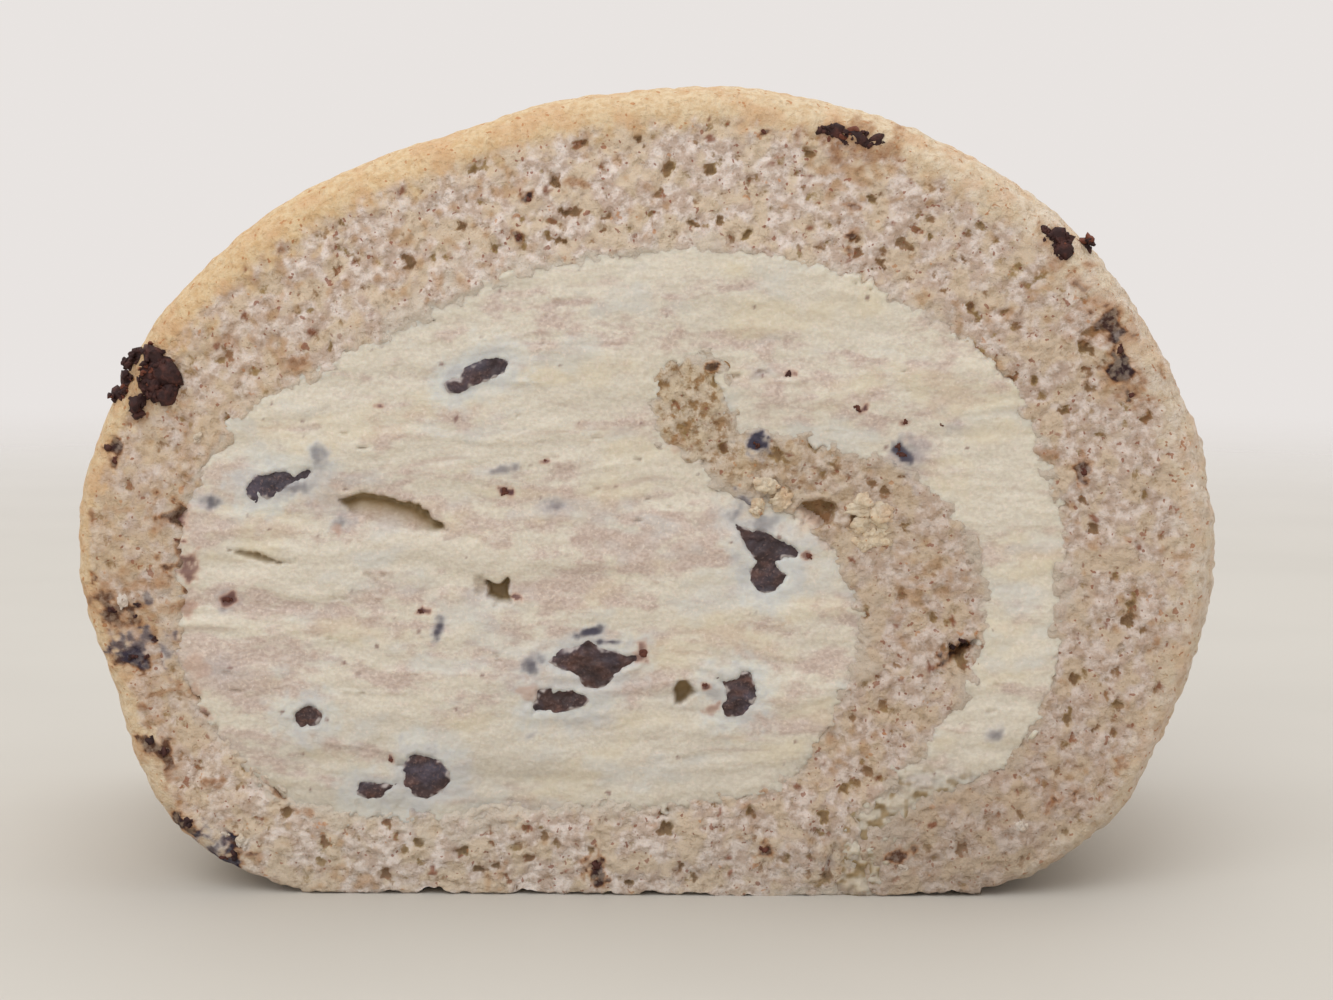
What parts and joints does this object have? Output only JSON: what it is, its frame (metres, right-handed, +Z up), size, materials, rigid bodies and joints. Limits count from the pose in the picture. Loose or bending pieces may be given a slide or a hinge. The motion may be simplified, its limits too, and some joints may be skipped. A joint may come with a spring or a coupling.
{
  "type": "swiss roll cake slice",
  "caption": "Thick slice of swiss roll cake: one sponge sheet rolled round a cream filling, with pieces of dark chocolate, standing on its flattened underside.",
  "frame": {"origin": "middle of the footprint, on the surface that the underside rests on", "axes": "+X across the roll, in the plane of the cut face; +Y along the roll, from the front cut face to the back one; +Z up"},
  "size_m": [0.0927, 0.045, 0.0654],
  "materials": {
    "sponge": "open-crumb sponge cake with a pale golden skin, matt",
    "cream": "ivory cream dragged smooth by the knife, soft sheen",
    "chocolate": "dark chocolate, broken, satin"
  },
  "bodies": {
    "root": {"sponge": "sponge", "cream": "cream", "chunk_middle": "chocolate", "chunk_middle_low": "chocolate", "chunk_tail": "chocolate", "chunk_upper": "chocolate", "chunk_left": "chocolate", "chunk_right": "chocolate", "chunk_low": "chocolate", "chunk_low_flat": "chocolate", "chunk_low_left": "chocolate", "chunk_skin_left": "chocolate", "chunk_skin_top": "chocolate", "chunk_skin_right": "chocolate"}
  },
  "joints": []
}
